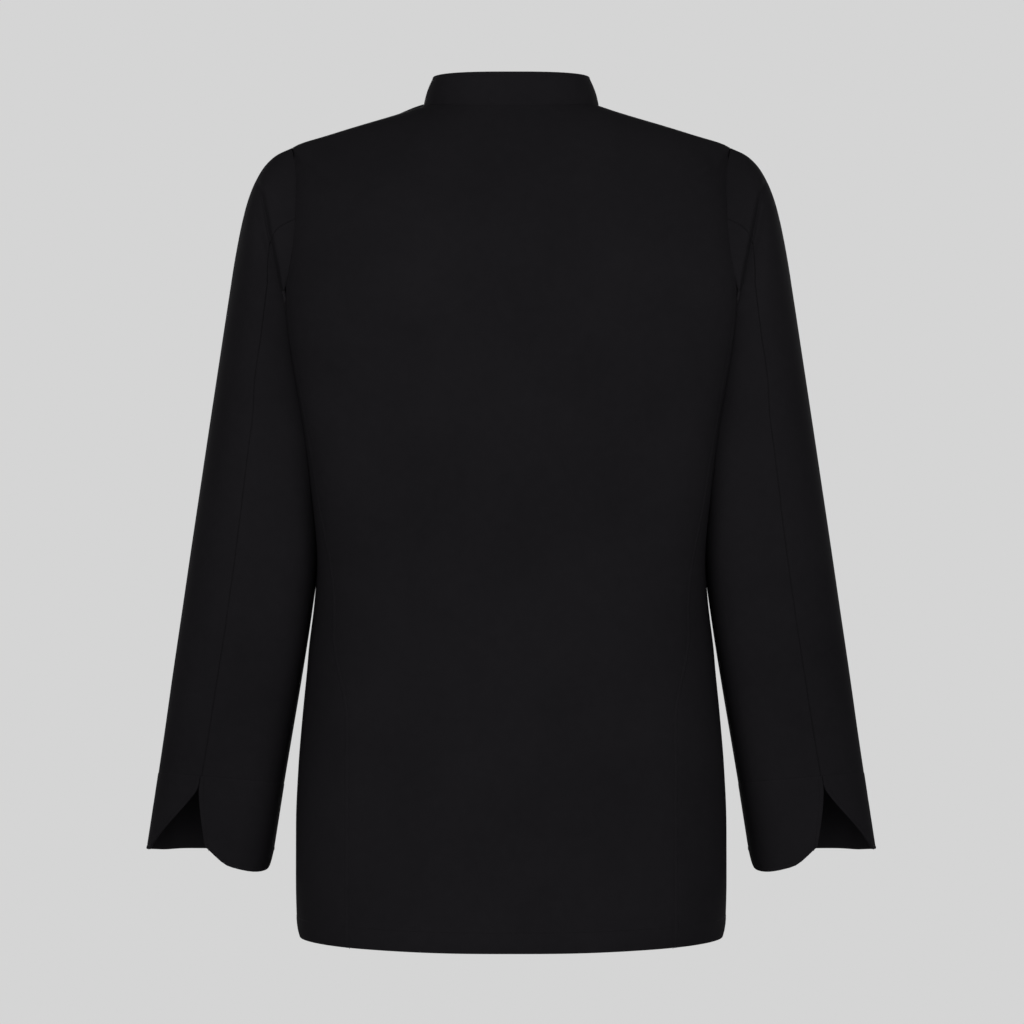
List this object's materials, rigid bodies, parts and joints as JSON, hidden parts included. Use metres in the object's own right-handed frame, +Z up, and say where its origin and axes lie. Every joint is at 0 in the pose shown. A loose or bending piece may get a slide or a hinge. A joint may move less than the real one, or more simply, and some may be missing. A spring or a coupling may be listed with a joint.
{
  "type": "chef jacket",
  "caption": "Filled-out black long-sleeved chef jacket with stand collar, double-breasted buttoned front, side panels and turned-back notched cuffs.",
  "frame": {"origin": "middle of the neck opening, level with the shoulder ends of the collar's seam, where the wearer's neck and shoulders hold the jacket up", "axes": "+Z up along the wearer's spine, +X to the wearer's left, +Y to the back of the jacket"},
  "size_m": [0.6676, 0.2598, 0.7831],
  "materials": {
    "twill": "matte black polyester and cotton twill",
    "buttons": "satin black moulded plastic"
  },
  "bodies": {
    "root": {"back_panel": "twill", "front_left": "twill", "front_right": "twill", "side_panel_left": "twill", "side_panel_right": "twill", "upper_sleeve_left": "twill", "upper_sleeve_right": "twill", "under_sleeve_left": "twill", "under_sleeve_right": "twill", "cuff_left": "twill", "cuff_right": "twill", "collar_stand": "twill", "button_left_1": "buttons", "button_left_2": "buttons", "button_left_3": "buttons", "button_left_4": "buttons", "button_left_5": "buttons", "button_right_1": "buttons", "button_right_2": "buttons", "button_right_3": "buttons", "button_right_4": "buttons", "button_right_5": "buttons"}
  },
  "joints": []
}
